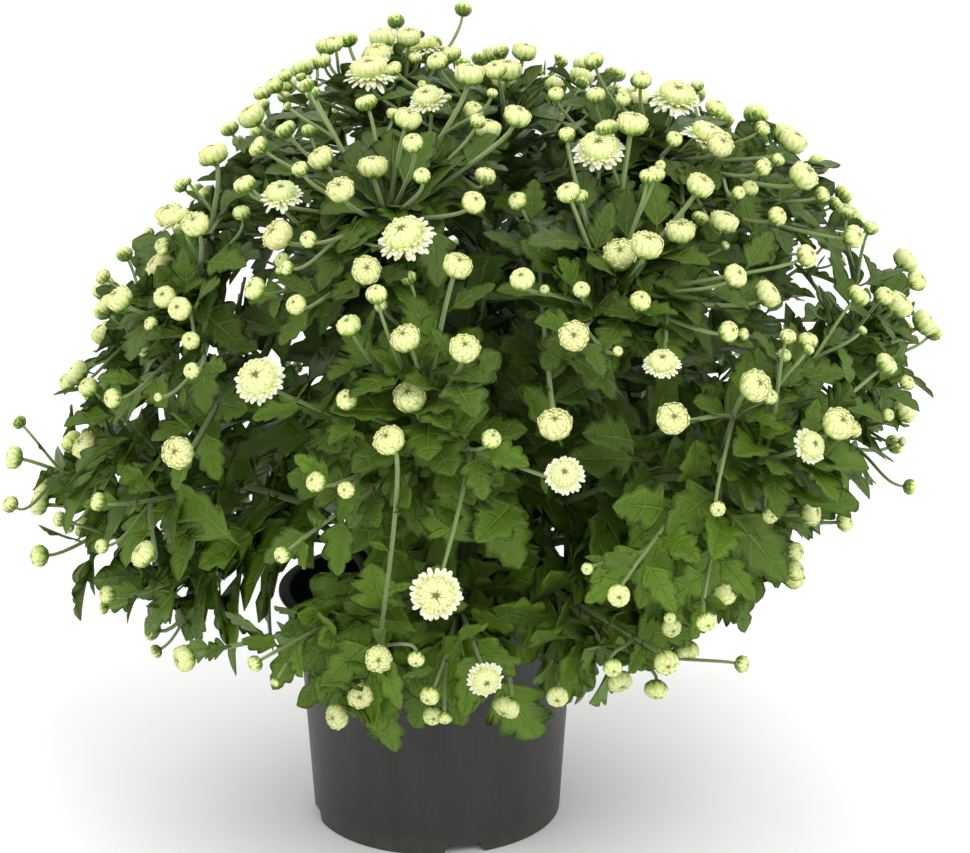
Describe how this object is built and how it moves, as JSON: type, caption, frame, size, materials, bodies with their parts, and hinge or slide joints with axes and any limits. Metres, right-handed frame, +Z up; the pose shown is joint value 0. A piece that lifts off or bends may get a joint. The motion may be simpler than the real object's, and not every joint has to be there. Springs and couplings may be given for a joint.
{
  "type": "potted chrysanthemum",
  "caption": "Bushy flowering plant in a round nursery pot: leafy stems fan out from the soil into a wide dome of round buds and open daisy-like blooms.",
  "frame": {"origin": "centre of the pot's foot, on the surface that the pot stands on", "axes": "+Z up along the pot's axis, -Y towards the viewer of the picture, +X to the viewer's right"},
  "size_m": [0.5512, 0.5308, 0.4857],
  "materials": {
    "pot_plastic": "satin",
    "potting_mix": "matte",
    "foliage": "satin",
    "petals": "matte"
  },
  "bodies": {
    "root": {"pot": "pot_plastic", "soil": "potting_mix", "spray_01": "foliage", "spray_02": "foliage", "spray_03": "foliage", "spray_04": "foliage", "spray_05": "foliage", "spray_06": "foliage", "spray_07": "foliage", "spray_08": "foliage", "spray_09": "foliage", "spray_10": "foliage", "spray_11": "foliage", "spray_12": "foliage", "spray_13": "foliage", "spray_14": "foliage", "spray_15": "foliage", "spray_16": "foliage", "spray_17": "foliage", "spray_18": "foliage", "spray_19": "foliage", "spray_20": "foliage", "spray_21": "foliage", "spray_22": "foliage", "spray_23": "foliage", "spray_24": "foliage", "spray_25": "foliage", "spray_26": "foliage", "spray_27": "foliage", "spray_28": "foliage", "spray_29": "foliage", "spray_30": "foliage", "spray_31": "foliage", "spray_32": "foliage", "bloom_01": "petals", "bloom_02": "petals", "bloom_03": "petals", "bloom_04": "petals", "bloom_05": "petals", "bloom_06": "petals", "bloom_07": "petals", "bloom_08": "petals", "bloom_09": "petals", "bloom_10": "petals", "bloom_11": "petals", "bloom_12": "petals", "bloom_13": "petals", "bloom_14": "petals", "bloom_15": "petals", "bloom_16": "petals", "bloom_17": "petals", "bloom_18": "petals", "bloom_19": "petals", "bloom_20": "petals", "bloom_21": "petals", "bloom_22": "petals"}
  },
  "joints": []
}
